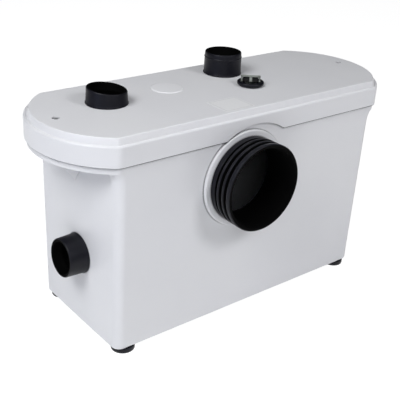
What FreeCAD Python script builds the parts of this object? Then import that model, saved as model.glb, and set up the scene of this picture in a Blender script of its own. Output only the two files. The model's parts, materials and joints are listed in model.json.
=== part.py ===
"""Sewage lifting station: a moulded tank and lid with rubber pipe sleeves, and the macerator pump inside.

Millimetres, +Z up, floor at Z = 0. The pieces are modelled about the tank's own centre, with X along the
front, and are moved along Y when they are saved, so that the middle of the whole station is the origin.
"""

import FreeCAD, Part
import math
import os

# Lid. Its plan has straight sides and bulging ends.
lid_length = 506.0
lid_width = 184.0
end_bulge = 51.0
lid_corner = 14.0
skirt_bottom = 246.3
ledge_top = 270.8
skirt_wall = 2.5
skirt_clearance = 0.3
lid_wall = 3.0
edge_round = 2.5
groove_inset = 3.0
groove_width = 0.8
groove_depth = 0.3
slope_inset = 4.2
panel_inset = 6.6
panel_rise = 7.4
panel_round = 1.6
arch_radius = 81.0
arch_x = -10.5
arch_drop = 67.3

# Tank
end_overhang = 50.0
tank_width_bottom = 172.4
tank_wall = 3.5
tank_seam_gap = 0.5
tank_floor = 4.0
tank_corner = 11.0
tank_bottom_round = 3.0
end_wall_bulge = 0.6
port_pad = 1.0
port_pad_margin = 2.0
rim_band = 8.0
cove_height = 16.0
gasket_height = 2.0
gasket_width = 3.0
pocket_depth = 5.0
pocket_height = 34.0
pocket_half_width = 70.0
gusset_height = 47.0
gusset_half_width = 24.0
gusset_depth = 30.0

# Feet
foot_height = 7.0
foot_radius = 14.7
foot_round = 1.2
foot_peg_radius = 4.0
foot_peg = 3.0
foot_inset_x = 18.5
foot_inset_y = 13.7

# Lid screws
lid_screw_inset = 27.0
lid_screw_radius = 2.0
lid_screw_head = 3.7
lid_screw_head_height = 2.6
lid_screw_bite = 16.0
screw_hole_gap = 0.2
screw_slot = 1.0
screw_dish_radius = 4.4
screw_dish_depth = 5.0
screw_post_radius = 6.5

# Toilet inlet on the front wall
wc_x = -23.5
wc_z = 192.5
wc_reach = 127.0
wc_boss_radius = 61.5
wc_boss_out = 4.0
wc_boss_round = 1.8
wc_pad_margin = 0.1
wc_bore = 48.0
wc_tube = 50.8
wc_fin = 54.0
wc_fin_width = 3.8
wc_fin_pitch = 8.6
wc_fins = 2
wc_fin_round = 0.8
wc_base_ring = 7.0
wc_lip_width = 6.0
wc_mouth = 50.4
wc_mouth_depth = 6.0
wc_hole = 52.0
wc_inner_flange = 57.0
wc_inner_flange_width = 4.0

# Rubber sleeves for 40 mm pipe
pipe_bore = 20.0
sleeve_neck = 22.0
sleeve_flange = 25.4
sleeve_flange_width = 2.4
sleeve_root = 24.9
sleeve_rim = 23.9
sleeve_rim_round = 1.2
sleeve_stop = 18.0
side_inlet_y = -4.0
side_inlet_z = 104.2
side_inlet_out = 22.0
top_inlet_end = 52.0
top_inlet_y = 15.5
top_inlet_out = 19.0
outlet_x = 46.4
outlet_y = 43.4
outlet_out = 29.0
outlet_bead_drop = 7.0
outlet_bead_round = 1.2
outlet_skirt = 12.0
outlet_skirt_wall = 3.0

# Blanked port moulded on the lid
blank_port_x = -57.5
blank_port_y = 25.0
blank_port_radius = 20.0
blank_ring_width = 2.2
blank_ring_height = 0.7

# Vent and its charcoal filter
vent_x = 42.3
vent_y = -17.8
vent_ring_radius = 16.5
vent_ring_height = 3.4
vent_ring_chamfer = 1.4
vent_inner_flange = 13.0
vent_inner_width = 2.0
vent_hole = 10.5
vent_tube = 8.0
vent_cap_radius = 12.2
vent_stem_wall = 2.0
vent_seat_width = 0.8
vent_slot_height = 2.8
vent_cap_height = 2.0
vent_post_width = 2.4
vent_posts = 6
filter_cup_radius = 17.0
filter_cup_wall = 1.8
filter_cup_depth = 22.0
filter_hole = 2.4
filter_hole_circle = 8.5
filter_holes = 6
filter_gap = 0.3
charcoal_height = 14.0

# Macerator pump, seen from above as a round body with a basket that reaches forward
pump_x = -40.0
pump_y = 14.0
basket_margin = 2.0
basket_wall = 2.0
basket_reach = 36.0
basket_height = 68.0
slot_width = 5.0
slot_height = 24.0
slot_foot = 8.0
slot_row_pitch = 30.0
slot_rows = 2
slots_per_half_circle = 13
slots_per_side = 3
mount_height = 7.0
mount_radius = 9.0
mount_circle = 30.0
mounts = 3
mount_web = 2.0
mount_web_half = 4.0
suction_plate = 3.0
suction_eye = 14.0
chamber_radius = 38.0
chamber_wall = 4.0
chamber_height = 22.0
pump_top_plate = 5.0
shaft_hole_gap = 1.5
tie_clearance = 6.0
tie_radius = 2.5
tie_gap = 0.2
tie_head = 4.6
tie_head_height = 4.0
tie_ear = 6.5
tie_angles = (0.0, 90.0, 180.0)

# Motor
motor_plate = 6.0
can_radius = 50.0
can_wall = 3.5
can_height = 100.0
cap_height = 24.0
cap_wall = 3.5
cap_round = 9.0
cap_rib_count = 8
cap_rib_width = 3.0
cap_rib_height = 3.0
stator_height = 54.0
stator_lift = 26.0
winding_height = 13.0
winding_inner = 30.0
winding_clearance = 3.5
rotor_radius = 26.0
air_gap = 0.6
shaft_radius = 6.0
running_gap = 0.05
bearing_radius = 13.0
bearing_height = 9.0
bearing_hub_wall = 3.0
bearing_groove_inner = 8.5
bearing_groove_outer = 11.0
bearing_groove_depth = 0.6
end_shield = 6.0
shaft_tail = 3.0
seal_radius = 11.0
seal_lip = 9.0
seal_drop = 2.0

# Impeller and cutter
impeller_radius = 33.0
impeller_disc = 3.0
impeller_gap = 1.8
impeller_vanes = 5
vane_width = 3.0
impeller_hub = 11.0
shaft_head = 9.0
shaft_head_height = 4.0
cutter_clearance = 8.0
cutter_width = 14.0
cutter_thickness = 3.0
cutter_lift = 5.0
cutter_tip_height = 12.0
cutter_hub = 12.0
cutter_hub_height = 9.0
cutter_hub_gap = 2.0

# Discharge, with its check valve
outlet_pipe_wall = 2.5
outlet_pipe_margin = 0.5
outlet_pipe_end = 50.0
elbow_radius = 16.0
elbow_wall = 4.5
elbow_socket_wall = 3.0
elbow_socket_length = 10.0
clamp_width = 7.0
clamp_band = 1.0
clamp_screw = 4.0
valve_flange = 20.0
valve_flange_height = 4.0
valve_bore = 22.0
valve_wall = 3.0
valve_seat_height = 9.0
valve_chamber_height = 42.0
valve_seat_bore = 10.0
valve_flap_radius = 13.0
valve_flap_thickness = 3.0
valve_weight_radius = 8.0
valve_weight_height = 3.0
valve_hinge_offset = 16.0
hinge_lift = 3.7
hinge_knuckle = 3.3
hinge_knuckle_half = 5.0
hinge_lug_width = 3.6
hinge_pin_radius = 1.5
hinge_side_gap = 0.3
seat_gap = 0.3
riser_wall = 2.5
riser_flange_height = 3.0

# Check flap behind the side inlet
flap_frame_radius = 33.0
flap_frame_depth = 10.0
flap_frame_cavity = 26.0
flap_frame_plate = 3.0
flap_frame_bore = 19.0
side_flap_radius = 23.0
side_flap_thickness = 2.5
side_weight_radius = 14.0
side_weight_height = 8.0
side_hinge_offset = 28.0

# Control box under the lid, with the level switch
box_end_gap = 17.0
box_y = 0.0
box_length = 92.0
box_width = 92.0
box_bottom = 196.0
box_height = 60.0
box_wall = 2.5
box_cover = 3.0
box_pillar = 5.0
lid_boss_radius = 5.5
dip_tube_radius = 17.0
dip_tube_wall = 2.5
dip_tube_bottom = 25.0
bell_radius = 30.0
bell_height = 18.0
bell_wall = 4.0
membrane_thickness = 2.0
plunger_plate_radius = 12.0
plunger_plate_height = 2.0
plunger_hole_gap = 2.0
plunger_stem_radius = 3.0
plunger_tip_radius = 1.0
plunger_tip = 2.0
plunger_height = 13.3
lever_gap = 0.5
lever_reach = 3.5
lever_width = 6.0
lever_thickness = 0.8
lever_hinge_back = 11.0
lever_pin_radius = 0.9
lever_knuckle = 2.0
lever_side_gap = 0.3
switch_length = 28.0
switch_width = 10.0
switch_height = 16.0
switch_lift = 4.6
switch_lug = 1.4
switch_lug_half = 2.5
switch_bracket = 3.5
switch_button_radius = 1.2
switch_button_height = 1.0
capacitor_radius = 14.0
capacitor_length = 60.0
capacitor_shift_y = -27.0
terminal_length = 30.0
terminal_width = 18.0
terminal_height = 15.0
terminal_shift_y = 27.0
terminal_shift_x = -20.0
terminal_ways = 3
terminal_screw_radius = 3.0
terminal_screw_depth = 4.0

# Lead from the motor to the control box, and the gland for the supply cord
lead_radius = 3.5
lead_y = 5.0
lead_rise = 10.0
lead_sag = 9.0
lead_straight = 12.0
lead_inside = 6.0
lead_collar_radius = 6.5
lead_collar = 8.0
gland_y = 30.0
gland_z = 180.0
gland_bore = 3.9
gland_thread = 8.0
gland_nut = 11.0
gland_out = 14.0
gland_nut_width = 5.0
gland_shoulder = 6.0
gland_cap_radius = 9.5

# Worked out from the sizes above
half_lid_width = lid_width / 2
tank_length = lid_length - 2 * end_overhang
half_tank = tank_length / 2
top_inlet_x = top_inlet_end - half_tank
rim_inset = skirt_wall + skirt_clearance
flange_bottom = skirt_bottom - rim_band
cove_bottom = flange_bottom - cove_height
rim_top = ledge_top - lid_wall - gasket_height
panel_top = ledge_top + panel_rise
panel_under = panel_top - lid_wall
floor_top = foot_height + tank_floor
boss_face = half_lid_width - rim_inset + wc_boss_out
frame_shift = (wc_reach - half_lid_width) / 2

basket_radius = can_radius + basket_margin
tie_circle = basket_radius + tie_clearance
cutter_radius = basket_radius - basket_wall - cutter_clearance
winding_outer = can_radius - can_wall - winding_clearance
pump_bottom = floor_top + mount_height
chamber_bottom = pump_bottom + suction_plate
plate_bottom = chamber_bottom + chamber_height
basket_bottom = plate_bottom + pump_top_plate
basket_top = basket_bottom + basket_height
can_bottom = basket_top + motor_plate
can_top = can_bottom + can_height
cap_top = can_top + cap_height
shaft_bottom = chamber_bottom + impeller_gap
lower_bearing = can_bottom
upper_bearing = can_top - bearing_height
stator_bottom = can_bottom + stator_lift
stator_top = stator_bottom + stator_height

outlet_pipe_radius = chamber_height / 2 - outlet_pipe_margin
outlet_pipe_bore = outlet_pipe_radius - outlet_pipe_wall
outlet_pipe_z = chamber_bottom + chamber_height / 2
valve_bottom = outlet_pipe_z + elbow_radius + valve_flange_height
valve_seat = valve_bottom + valve_seat_height
valve_top = valve_seat + valve_chamber_height
valve_outer = valve_bore + valve_wall
riser_top = panel_under - sleeve_flange_width
elbow_start = pump_x + outlet_pipe_end - elbow_socket_length
lead_z = can_top + lead_rise

box_x = half_tank - box_end_gap - box_length / 2
box_left = box_x - box_length / 2
box_top = box_bottom + box_height
cover_top = box_top + box_cover
membrane_bottom = box_bottom - membrane_thickness
bell_bottom = membrane_bottom - bell_height
lever_z = box_bottom + plunger_height + lever_gap
switch_bottom = lever_z + switch_lift
wall_inside = half_tank - tank_wall - port_pad
seam_x = half_tank - pocket_depth - tank_wall - tank_seam_gap
seam_y = tank_width_bottom / 2 - tank_wall - tank_seam_gap
port_wall = tank_wall + port_pad

up = FreeCAD.Vector(0, 0, 1)
along_x = FreeCAD.Vector(1, 0, 0)
along_y = FreeCAD.Vector(0, 1, 0)


def vec(x, y, z):
    return FreeCAD.Vector(x, y, z)


def rod(x, y, z, radius, length, direction=up):
    return Part.makeCylinder(radius, length, vec(x, y, z), direction)


def tube(x, y, z, outer, inner, length, direction=up):
    return rod(x, y, z, outer, length, direction).cut(rod(x, y, z, inner, length, direction))


def block(x0, x1, y0, y1, z0, z1):
    return Part.makeBox(x1 - x0, y1 - y0, z1 - z0, vec(x0, y0, z0))


def turned(points):
    """A solid turned about Z from its half section, given as (radius, height) points."""
    corners = [vec(radius, 0, height) for radius, height in points]
    face = Part.Face(Part.makePolygon(corners + corners[:1]))
    return face.revolve(vec(0, 0, 0), up, 360)


def round_rims(solid, size, rims):
    """Rounds the circular edges of a turned solid that have these (radius, height) values."""
    chosen = []
    for edge in solid.Edges:
        curve = edge.Curve
        if not isinstance(curve, Part.Circle):
            continue
        for radius, height in rims:
            if abs(curve.Radius - radius) < 0.01 and abs(curve.Center.z - height) < 0.01:
                chosen.append(edge)
    return solid.makeFillet(size, chosen)


def fused(shapes):
    return shapes[0].fuse(shapes[1:]).removeSplitter()


# A plan is (half chord, half width, end bulge, corner radius): two straight sides and two bulging ends.
def end_radius(plan):
    half_chord, half_width, bulge, corner = plan
    return (half_width**2 + bulge**2) / (2 * bulge)


def inset_plan(plan, inset):
    """The same plan with its whole outline moved inwards."""
    half_chord, half_width, bulge, corner = plan
    radius = end_radius(plan) - inset
    centre = half_chord + bulge - end_radius(plan)
    new_width = half_width - inset
    new_chord = centre + math.sqrt(radius**2 - new_width**2)
    return (new_chord, new_width, centre + radius - new_chord, corner - inset)


def plan_wire(plan, z):
    half_chord, half_width, bulge, corner = plan
    radius = end_radius(plan)
    centre = half_chord + bulge - radius
    corner_x = centre + math.sqrt((radius - corner) ** 2 - (half_width - corner) ** 2)
    corner_y = half_width - corner
    reach = radius / (radius - corner)
    touch_x = centre + (corner_x - centre) * reach
    touch_y = corner_y * reach
    half_turn = math.atan2(corner_y, corner_x - centre)
    mid_angle = (math.pi / 2 + half_turn) / 2
    mid_x = corner_x + corner * math.cos(mid_angle)
    mid_y = corner_y + corner * math.sin(mid_angle)

    def at(x, y):
        return vec(x, y, z)

    edges = []
    for side in (1, -1):
        edges += [
            Part.LineSegment(at(-side * corner_x, -side * half_width), at(side * corner_x, -side * half_width)),
            Part.Arc(at(side * corner_x, -side * half_width), at(side * mid_x, -side * mid_y),
                     at(side * touch_x, -side * touch_y)),
            Part.Arc(at(side * touch_x, -side * touch_y), at(side * (centre + radius), 0),
                     at(side * touch_x, side * touch_y)),
            Part.Arc(at(side * touch_x, side * touch_y), at(side * mid_x, side * mid_y),
                     at(side * corner_x, side * half_width)),
        ]
    return Part.Wire([edge.toShape() for edge in edges])


def prism(plan, z0, z1):
    return Part.Face(plan_wire(plan, z0)).extrude(vec(0, 0, z1 - z0))


lid_plan = (lid_length / 2 - end_bulge, half_lid_width, end_bulge, lid_corner)
rim_plan = inset_plan(lid_plan, rim_inset)


def wall_plan(z, inset=0.0):
    """The tank wall's plan at a height: the long walls lean out as they rise, the end walls are upright."""
    lean = (z - foot_height) / (flange_bottom - foot_height)
    half_width = tank_width_bottom / 2 + (rim_plan[1] - tank_width_bottom / 2) * lean
    return (half_tank - end_wall_bulge - inset, half_width - inset, end_wall_bulge, tank_corner - inset)


# The boss of the toilet inlet is thick enough to clear the leaning wall behind the sleeve's inner flange.
wc_boss_depth = boss_face - wall_plan(wc_z - wc_inner_flange, tank_wall)[1] + wc_pad_margin


def pocket(side, grow=0.0):
    """The grip pocket under an overhanging end: a ramp into the end wall, with flared ends."""
    wall = half_tank
    outside = lid_length / 2 + tank_wall
    deep = wall - pocket_depth - grow
    low = flange_bottom - pocket_height - grow
    high = flange_bottom + grow
    flare = pocket_half_width + (outside - deep)
    half = pocket_half_width + grow
    ramp = Part.Face(Part.makePolygon([
        vec(side * (wall - grow), 0, low), vec(side * deep, 0, high), vec(side * outside, 0, high),
        vec(side * outside, 0, low), vec(side * (wall - grow), 0, low)]))
    ramp = ramp.extrude(vec(0, lid_width, 0))
    ramp.translate(vec(0, -half_lid_width, 0))
    plan = Part.Face(Part.makePolygon([
        vec(side * deep, -half, low), vec(side * deep, half, low), vec(side * outside, flare + grow, low),
        vec(side * outside, -flare - grow, low), vec(side * deep, -half, low)]))
    return ramp.common(plan.extrude(vec(0, 0, high - low)))


def tank_form(inset, bottom, top):
    """The tank's outer form, or its cavity when it is inset by the wall."""
    z_cove = cove_bottom + inset
    z_rim = flange_bottom + inset
    walls = Part.makeLoft([plan_wire(wall_plan(bottom, inset), bottom),
                           plan_wire(wall_plan(z_cove, inset), z_cove)], True, True)
    low_plan = wall_plan(z_cove, inset)
    high_plan = inset_plan(rim_plan, inset)
    sections = []
    for share in (0.0, 0.4, 0.75, 1.0):
        curve = 1 - math.sqrt(1 - share**2)
        plan = tuple(low + (high - low) * curve for low, high in zip(low_plan, high_plan))
        sections.append(plan_wire(plan, z_cove + (z_rim - z_cove) * share))
    cove = Part.makeLoft(sections, True, True)
    form = fused([walls, cove, prism(high_plan, z_rim, top)])
    for side in (-1, 1):
        form = form.cut(pocket(side, inset))
    return form


def gusset(side):
    """The three-sided brace moulded under the middle of an overhanging end."""
    wall = half_tank - pocket_depth
    top = flange_bottom
    left = vec(side * wall, -gusset_half_width, top)
    right = vec(side * wall, gusset_half_width, top)
    outer = vec(side * (half_tank + gusset_depth), 0, top)
    foot = vec(side * wall, 0, top - gusset_height)
    faces = [Part.Face(Part.makePolygon(corners + corners[:1])) for corners in (
        [left, right, outer], [left, right, foot], [left, outer, foot], [right, outer, foot])]
    return Part.Solid(Part.Shell(faces))


def foot_places():
    for name_y, side_y in (("front", -1), ("back", 1)):
        for name_x, side_x in (("left", -1), ("right", 1)):
            x = side_x * (half_tank - foot_inset_x)
            y = side_y * (tank_width_bottom / 2 - foot_inset_y)
            yield f"foot_{name_y}_{name_x}", x, y


lid_screw_x = lid_length / 2 - lid_screw_inset
screw_seat = panel_top - screw_dish_depth
screw_bottom = screw_seat - lid_screw_bite


def tank():
    body = tank_form(0.0, foot_height, rim_top)
    low_edges = [edge for edge in body.Edges if edge.BoundBox.ZMax < foot_height + 0.01]
    body = body.makeFillet(tank_bottom_round, low_edges)
    body = body.fuse([gusset(-1), gusset(1)])
    body = body.cut(tank_form(tank_wall, floor_top, rim_top + tank_wall))
    boss = rod(wc_x, -boss_face, wc_z, wc_boss_radius, wc_boss_depth, along_y)
    front_rim = [edge for edge in boss.Edges if abs(edge.BoundBox.YMax + boss_face) < 0.01]
    pads = [rod(-half_tank, side_inlet_y, side_inlet_z, flap_frame_radius + port_pad_margin, port_wall, along_x),
            rod(wall_inside, gland_y, gland_z, gland_nut + port_pad_margin, port_wall, along_x)]
    pads = [pad.common(tank_form(0.0, foot_height, rim_top)) for pad in pads]
    body = body.fuse([boss.makeFillet(wc_boss_round, front_rim)] + pads)
    for side in (-1, 1):
        post = rod(side * lid_screw_x, 0, flange_bottom, screw_post_radius, rim_top - flange_bottom)
        body = body.fuse(post)
        body = body.cut(rod(side * lid_screw_x, 0, screw_bottom, lid_screw_radius, rim_top))
    for name, x, y in foot_places():
        body = body.cut(rod(x, y, foot_height, foot_peg_radius, foot_peg))
    body = body.cut(rod(wc_x, -boss_face, wc_z, wc_hole, wc_boss_depth, along_y))
    body = body.cut(rod(-half_tank, side_inlet_y, side_inlet_z, sleeve_neck, port_wall, along_x))
    body = body.cut(rod(wall_inside, gland_y, gland_z, gland_thread, port_wall, along_x))
    return body.removeSplitter()


def tank_pieces():
    """The moulded tank, cut at flat seams into its two ends, its front, and its floor with the back wall."""
    whole = tank()
    far = lid_length
    yield "tank_left_end", whole.common(block(-far, -seam_x, -far, far, 0, far))
    yield "tank_right_end", whole.common(block(seam_x, far, -far, far, 0, far))
    yield "tank_front", whole.common(block(-seam_x, seam_x, -far, -seam_y, 0, far))
    yield "tank_floor_and_back", whole.common(block(-seam_x, seam_x, -seam_y, far, 0, far))


def lid_gasket():
    outer = inset_plan(rim_plan, (tank_wall - gasket_width) / 2)
    ring = prism(outer, rim_top, rim_top + gasket_height)
    return ring.cut(prism(inset_plan(outer, gasket_width), rim_top, rim_top + gasket_height))


def box_corners():
    for side_x in (-1, 1):
        for side_y in (-1, 1):
            x = box_x + side_x * (box_length / 2 - box_pillar)
            y = box_y + side_y * (box_width / 2 - box_pillar)
            yield x, y


def lid():
    skirt = prism(lid_plan, skirt_bottom, ledge_top)
    top_edges = [edge for edge in skirt.Edges if edge.BoundBox.ZMin > ledge_top - 0.01]
    skirt = skirt.makeFillet(edge_round, top_edges)
    groove_plan = inset_plan(lid_plan, groove_inset)
    groove = prism(groove_plan, ledge_top - groove_depth, ledge_top)
    groove = groove.cut(prism(inset_plan(groove_plan, groove_width), ledge_top - groove_depth, ledge_top))
    step = Part.makeLoft([plan_wire(inset_plan(lid_plan, slope_inset), ledge_top),
                          plan_wire(inset_plan(lid_plan, panel_inset), panel_top)], True, True)
    panel_edges = [edge for edge in step.Edges if edge.BoundBox.ZMin > panel_top - 0.01]
    step = step.makeFillet(panel_round, panel_edges)
    body = fused([skirt.cut(groove), step])
    ledge_under = ledge_top - lid_wall
    body = body.cut(prism(inset_plan(lid_plan, skirt_wall), skirt_bottom, ledge_under))
    body = body.cut(prism(inset_plan(lid_plan, panel_inset + lid_wall), ledge_under, panel_under))
    bosses = [rod(x, y, cover_top, lid_boss_radius, panel_under - cover_top) for x, y in box_corners()]
    for side in (-1, 1):
        bosses.append(rod(side * lid_screw_x, 0, rim_top, screw_post_radius, panel_under - rim_top))
    bosses.append(tube(blank_port_x, blank_port_y, panel_top, blank_port_radius,
                       blank_port_radius - blank_ring_width, blank_ring_height))
    body = body.fuse(bosses)
    arch_z = skirt_bottom - arch_drop
    holes = [rod(arch_x, -half_lid_width, arch_z, arch_radius, rim_inset, along_y)]
    for side in (-1, 1):
        holes.append(rod(side * lid_screw_x, 0, screw_seat, screw_dish_radius, screw_dish_depth))
        holes.append(rod(side * lid_screw_x, 0, rim_top, lid_screw_radius + screw_hole_gap, screw_seat - rim_top))
    holes.append(rod(top_inlet_x, top_inlet_y, panel_under, sleeve_neck, lid_wall))
    holes.append(rod(outlet_x, outlet_y, panel_under, sleeve_neck, lid_wall))
    holes.append(rod(vent_x, vent_y, panel_under, vent_hole, lid_wall))
    return body.cut(holes).removeSplitter()


def lid_screw(side):
    x = side * lid_screw_x
    shank = rod(x, 0, screw_bottom, lid_screw_radius, lid_screw_bite)
    head = rod(x, 0, screw_seat, lid_screw_head, lid_screw_head_height)
    top = screw_seat + lid_screw_head_height
    screw = fused([shank, head])
    half = lid_screw_radius
    for long_x, long_y in ((half, screw_slot / 2), (screw_slot / 2, half)):
        screw = screw.cut(block(x - long_x, x + long_x, -long_y, long_y, top - screw_slot, top))
    return screw


def foot(x, y):
    pad = turned([(0, 0), (foot_radius, 0), (foot_radius, foot_height), (0, foot_height)])
    pad = round_rims(pad, foot_round, [(foot_radius, 0), (foot_radius, foot_height)])
    pad = fused([pad, rod(0, 0, foot_height, foot_peg_radius, foot_peg)])
    pad.translate(vec(x, y, 0))
    return pad


def pipe_sleeve(out, wall, skirt=0.0):
    """A rubber sleeve about Z, pushed through a wall that lies below Z = 0. The pipe goes in from above."""
    low = -wall - sleeve_flange_width
    sleeve = turned([
        (sleeve_stop, low), (sleeve_flange, low), (sleeve_flange, -wall), (sleeve_neck, -wall), (sleeve_neck, 0),
        (sleeve_flange, 0), (sleeve_flange, sleeve_flange_width), (sleeve_root, sleeve_flange_width),
        (sleeve_rim, out), (pipe_bore, out), (pipe_bore, -wall), (sleeve_stop, -wall)])
    sleeve = round_rims(sleeve, sleeve_rim_round, [(sleeve_rim, out)])
    if skirt > 0:
        sleeve = fused([sleeve, tube(0, 0, low - skirt, pipe_bore + outlet_skirt_wall, pipe_bore, skirt)])
    return sleeve


def side_inlet_sleeve():
    sleeve = pipe_sleeve(side_inlet_out, port_wall)
    sleeve.rotate(vec(0, 0, 0), along_y, -90)
    sleeve.translate(vec(-half_tank, side_inlet_y, side_inlet_z))
    return sleeve


def top_inlet_sleeve():
    sleeve = pipe_sleeve(top_inlet_out, lid_wall)
    sleeve.translate(vec(top_inlet_x, top_inlet_y, panel_top))
    return sleeve


def outlet_sleeve():
    sleeve = pipe_sleeve(outlet_out, lid_wall, outlet_skirt)
    bead = Part.makeTorus(sleeve_rim, outlet_bead_round, vec(0, 0, outlet_out - outlet_bead_drop), up)
    bead = bead.cut(rod(0, 0, 0, (sleeve_rim + pipe_bore) / 2, outlet_out))
    sleeve = fused([sleeve, bead])
    sleeve.translate(vec(outlet_x, outlet_y, panel_top))
    return sleeve


def wc_inlet_sleeve():
    reach = wc_reach - boss_face
    low = -wc_boss_depth - wc_inner_flange_width
    points = [(wc_bore, low), (wc_inner_flange, low), (wc_inner_flange, -wc_boss_depth), (wc_hole, -wc_boss_depth),
              (wc_hole, 0), (wc_fin, 0), (wc_fin, wc_base_ring), (wc_tube, wc_base_ring)]
    rims = [(wc_fin, wc_base_ring)]
    for number in range(wc_fins, -1, -1):
        start = reach - wc_lip_width - number * wc_fin_pitch
        end = reach if number == 0 else start + wc_fin_width
        points += [(wc_tube, start), (wc_fin, start), (wc_fin, end)]
        rims += [(wc_fin, start), (wc_fin, end)]
        if number > 0:
            points.append((wc_tube, end))
    points += [(wc_mouth, reach), (wc_bore, reach - wc_mouth_depth)]
    sleeve = round_rims(turned(points), wc_fin_round, rims)
    sleeve.rotate(vec(0, 0, 0), along_x, 90)
    sleeve.translate(vec(wc_x, -boss_face, wc_z))
    return sleeve


def vent_grommet():
    low = -lid_wall - vent_inner_width
    ring = turned([
        (vent_tube, low), (vent_inner_flange, low), (vent_inner_flange, -lid_wall), (vent_hole, -lid_wall),
        (vent_hole, 0), (vent_ring_radius, 0), (vent_ring_radius, vent_ring_height - vent_ring_chamfer),
        (vent_ring_radius - vent_ring_chamfer, vent_ring_height), (vent_tube, vent_ring_height)])
    ring.translate(vec(vent_x, vent_y, panel_top))
    return ring


def vent_cap():
    low = -lid_wall - vent_inner_width
    inner = vent_tube - vent_stem_wall
    seat = vent_ring_height + vent_seat_width
    disc = seat + vent_slot_height
    cap = [tube(0, 0, low, vent_tube, inner, seat - low),
           tube(0, 0, vent_ring_height, vent_cap_radius, inner, vent_seat_width),
           rod(0, 0, disc, vent_cap_radius, vent_cap_height)]
    for number in range(vent_posts):
        post = block(inner, vent_cap_radius, -vent_post_width / 2, vent_post_width / 2, seat, disc)
        post.rotate(vec(0, 0, 0), up, number * 360 / vent_posts)
        cap.append(post.common(rod(0, 0, seat, vent_cap_radius, vent_slot_height)))
    cap = fused(cap)
    cap.translate(vec(vent_x, vent_y, panel_top))
    return cap


def filter_cup():
    bottom = panel_under - filter_cup_depth
    cup = rod(vent_x, vent_y, bottom, filter_cup_radius, filter_cup_depth)
    inner = filter_cup_radius - filter_cup_wall
    cup = cup.cut(rod(vent_x, vent_y, bottom + filter_cup_wall, inner, filter_cup_depth))
    holes = []
    for number in range(filter_holes):
        angle = math.radians(number * 360 / filter_holes)
        x = vent_x + filter_hole_circle * math.cos(angle)
        y = vent_y + filter_hole_circle * math.sin(angle)
        holes.append(rod(x, y, bottom, filter_hole, filter_cup_wall))
    return cup.cut(holes)


def charcoal_filter():
    bottom = panel_under - filter_cup_depth + filter_cup_wall
    radius = filter_cup_radius - filter_cup_wall - filter_gap
    return rod(vent_x, vent_y, bottom, radius, charcoal_height)


def cable_gland():
    low = -port_wall - gland_nut_width
    gland = turned([
        (gland_bore, low), (gland_thread, low), (gland_thread, 0), (gland_nut, 0), (gland_nut, gland_shoulder),
        (gland_cap_radius, gland_shoulder), (gland_cap_radius, gland_out), (gland_bore, gland_out)])
    gland.rotate(vec(0, 0, 0), along_y, 90)
    gland.translate(vec(half_tank, gland_y, gland_z))
    return gland


def gland_nut_ring():
    start = wall_inside - gland_nut_width
    return tube(start, gland_y, gland_z, gland_nut, gland_thread, gland_nut_width, along_x)


def pump_mount():
    pads = [tube(pump_x, pump_y, floor_top, mount_circle + mount_web_half, mount_circle - mount_web_half, mount_web)]
    for number in range(mounts):
        angle = math.radians(number * 360 / mounts)
        x = pump_x + mount_circle * math.cos(angle)
        y = pump_y + mount_circle * math.sin(angle)
        pads.append(rod(x, y, floor_top, mount_radius, mount_height))
    return fused(pads)


def suction_cover():
    return tube(pump_x, pump_y, pump_bottom, chamber_radius + chamber_wall, suction_eye, suction_plate)


def tie_places():
    for angle in tie_angles:
        turn = math.radians(angle)
        yield pump_x + tie_circle * math.cos(turn), pump_y + tie_circle * math.sin(turn)


def ears(z0, z1):
    """Arms that reach from the pump's axis to the tie rods, between two heights."""
    arms = []
    for angle in tie_angles:
        arm = block(0, tie_circle, -tie_ear, tie_ear, z0, z1)
        arm.rotate(vec(0, 0, 0), up, angle)
        arm.translate(vec(pump_x, pump_y, 0))
        arms.append(arm)
    for x, y in tie_places():
        arms.append(rod(x, y, z0, tie_ear, z1 - z0))
    return arms


def tie_holes(z0, z1):
    return [rod(x, y, z0, tie_radius + tie_gap, z1 - z0) for x, y in tie_places()]


def pump_casing():
    outer = chamber_radius + chamber_wall
    body = rod(pump_x, pump_y, chamber_bottom, outer, basket_bottom - chamber_bottom)
    pipe = rod(pump_x, outlet_y, outlet_pipe_z, outlet_pipe_radius, outlet_pipe_end, along_x)
    body = body.fuse(ears(plate_bottom, basket_bottom) + [pipe])
    body = body.cut(rod(pump_x, pump_y, chamber_bottom, chamber_radius, chamber_height))
    body = body.cut(rod(pump_x, outlet_y, outlet_pipe_z, outlet_pipe_bore, outlet_pipe_end, along_x))
    body = body.cut(rod(pump_x, pump_y, plate_bottom, shaft_radius + shaft_hole_gap, pump_top_plate))
    return body.cut(tie_holes(plate_bottom, basket_bottom)).removeSplitter()


def tie_rod(x, y):
    low = plate_bottom - tie_head_height
    high = can_bottom + tie_head_height
    return fused([rod(x, y, low, tie_radius, high - low), rod(x, y, low, tie_head, tie_head_height),
                  rod(x, y, can_bottom, tie_head, tie_head_height)])


def basket_form(inset, z0, z1):
    radius = basket_radius - inset
    front_y = pump_y - basket_reach
    return fused([rod(pump_x, pump_y, z0, radius, z1 - z0), rod(pump_x, front_y, z0, radius, z1 - z0),
                  block(pump_x - radius, pump_x + radius, front_y, pump_y, z0, z1)])


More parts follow.
